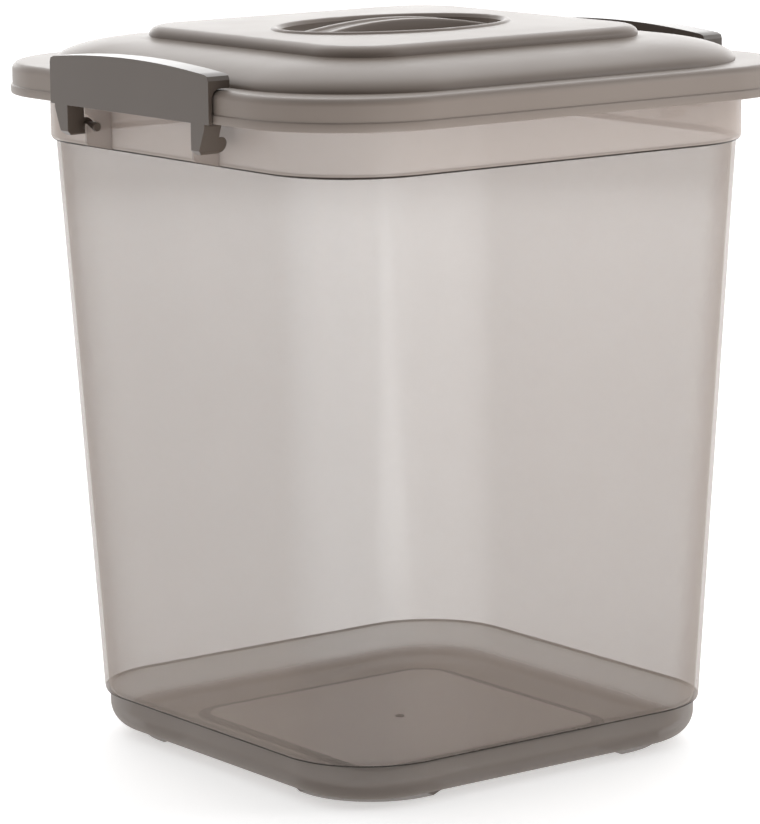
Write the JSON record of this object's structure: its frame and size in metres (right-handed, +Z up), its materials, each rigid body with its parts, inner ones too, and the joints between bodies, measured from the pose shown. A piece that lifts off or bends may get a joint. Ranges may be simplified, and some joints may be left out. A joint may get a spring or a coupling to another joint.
{
  "type": "pet food bin",
  "caption": "Square tapered food storage bin with a lift-off lid, recessed grip bar and two swinging side latches.",
  "frame": {"origin": "on the ground under the middle of the tub", "axes": "+Z up, +X towards the right latch, +Y towards the back"},
  "size_m": [0.377, 0.371, 0.4372],
  "materials": {
    "tub_plastic": "translucent warm grey, satin",
    "lid_plastic": "opaque silvery warm grey, satin",
    "latch_plastic": "dark warm grey, fine grain",
    "seal_rubber": "soft grey, matte"
  },
  "bodies": {
    "tub": {"tub": "tub_plastic", "left_hinge_ribs": "tub_plastic", "right_hinge_ribs": "tub_plastic"},
    "lid": {"lid": "lid_plastic", "grip_bar": "lid_plastic", "lid_seal": "seal_rubber"},
    "left_latch": {"left_latch": "latch_plastic"},
    "right_latch": {"right_latch": "latch_plastic"}
  },
  "joints": [
    {"name": "left_latch_hinge", "type": "hinge", "parent": "tub", "child": "left_latch", "pos_m": [-0.1755, 0, 0.3814], "axis": [0, -1, 0], "range_deg": [0, 110]},
    {"name": "right_latch_hinge", "type": "hinge", "parent": "tub", "child": "right_latch", "pos_m": [0.1755, 0, 0.3814], "axis": [0, 1, 0], "range_deg": [0, 110]},
    {"name": "lid_lift", "type": "slide", "parent": "tub", "child": "lid", "axis": [0, 0, 1], "range_m": [0, 0.25]}
  ]
}
